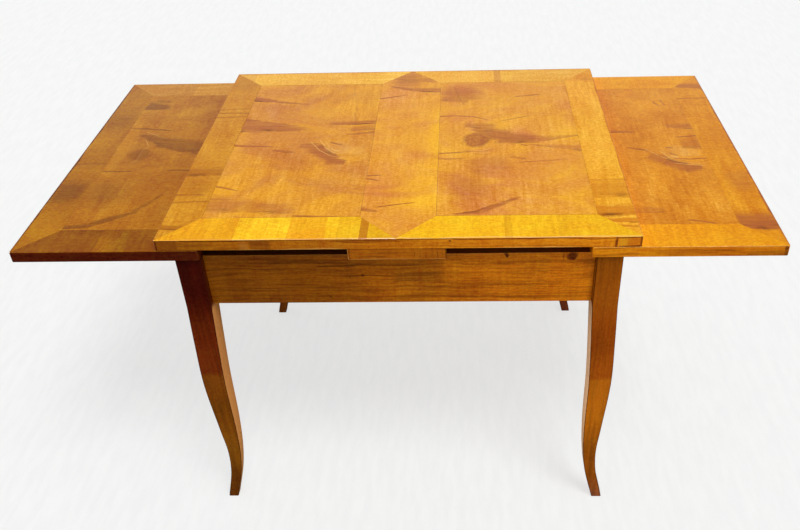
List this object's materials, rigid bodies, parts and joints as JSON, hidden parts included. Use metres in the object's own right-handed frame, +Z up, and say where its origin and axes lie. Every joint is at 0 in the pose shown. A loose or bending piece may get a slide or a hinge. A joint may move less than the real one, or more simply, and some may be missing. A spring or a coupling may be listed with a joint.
{
  "type": "draw leaf table",
  "caption": "Rectangular veneered draw leaf table on sabre legs; a leaf slides out level from under each end of the fixed top.",
  "frame": {"origin": "on the floor, midway between the legs, under the middle of the fixed top", "axes": "+Z up; +X towards the right leaf, the way it draws out; -Y the front"},
  "size_m": [1.455, 0.743, 0.77],
  "materials": {
    "figured_veneer": "figured maple veneer, stained honey orange and french polished",
    "band_veneer": "plain veneer laid with its grain along the table, french polished",
    "border_veneer": "crossbanded golden veneer, french polished",
    "board_wood": "solid edges and core, stained honey brown and polished",
    "apron_wood": "solid wood, stained brown and polished",
    "leg_wood": "solid wood, stained red brown and polished",
    "inner_wood": "planed inner woodwork, lightly stained, unpolished",
    "screw_steel": "plain steel, darkened with age"
  },
  "bodies": {
    "table_frame": {"apron_back": "apron_wood", "apron_front": "apron_wood", "apron_left": "apron_wood", "apron_right": "apron_wood", "centre_board": "board_wood", "centre_rail": "inner_wood", "corner_block_back_left": "inner_wood", "corner_block_back_right": "inner_wood", "corner_block_front_left": "inner_wood", "corner_block_front_right": "inner_wood", "leg_back_left": "leg_wood", "leg_back_right": "leg_wood", "leg_front_left": "leg_wood", "leg_front_right": "leg_wood", "top_band_veneer": "band_veneer", "top_border_veneer_back_left": "border_veneer", "top_border_veneer_back_right": "border_veneer", "top_border_veneer_front_left": "border_veneer", "top_border_veneer_front_right": "border_veneer", "top_border_veneer_left": "border_veneer", "top_border_veneer_right": "border_veneer", "top_cleat_left": "board_wood", "top_cleat_right": "board_wood", "top_core": "board_wood", "top_panel_veneer_left": "figured_veneer", "top_panel_veneer_right": "figured_veneer", "top_screws": "screw_steel"},
    "left_leaf": {"left_leaf_bearer_back": "inner_wood", "left_leaf_bearer_front": "inner_wood", "left_leaf_bearer_screws": "screw_steel", "left_leaf_border_veneer_back": "border_veneer", "left_leaf_border_veneer_front": "border_veneer", "left_leaf_border_veneer_outer": "border_veneer", "left_leaf_cleat_inner": "board_wood", "left_leaf_cleat_outer": "board_wood", "left_leaf_core": "board_wood", "left_leaf_panel_veneer": "figured_veneer", "left_leaf_stop_blocks": "inner_wood"},
    "right_leaf": {"right_leaf_bearer_back": "inner_wood", "right_leaf_bearer_front": "inner_wood", "right_leaf_bearer_screws": "screw_steel", "right_leaf_border_veneer_back": "border_veneer", "right_leaf_border_veneer_front": "border_veneer", "right_leaf_border_veneer_outer": "border_veneer", "right_leaf_cleat_inner": "board_wood", "right_leaf_cleat_outer": "board_wood", "right_leaf_core": "board_wood", "right_leaf_panel_veneer": "figured_veneer", "right_leaf_stop_blocks": "inner_wood"}
  },
  "joints": [
    {"name": "left_leaf_slide", "type": "slide", "parent": "table_frame", "child": "left_leaf", "axis": [-1, 0, 0], "range_m": [-0.281, 0.019]},
    {"name": "right_leaf_slide", "type": "slide", "parent": "table_frame", "child": "right_leaf", "axis": [1, 0, 0], "range_m": [-0.269, 0.031]}
  ]
}
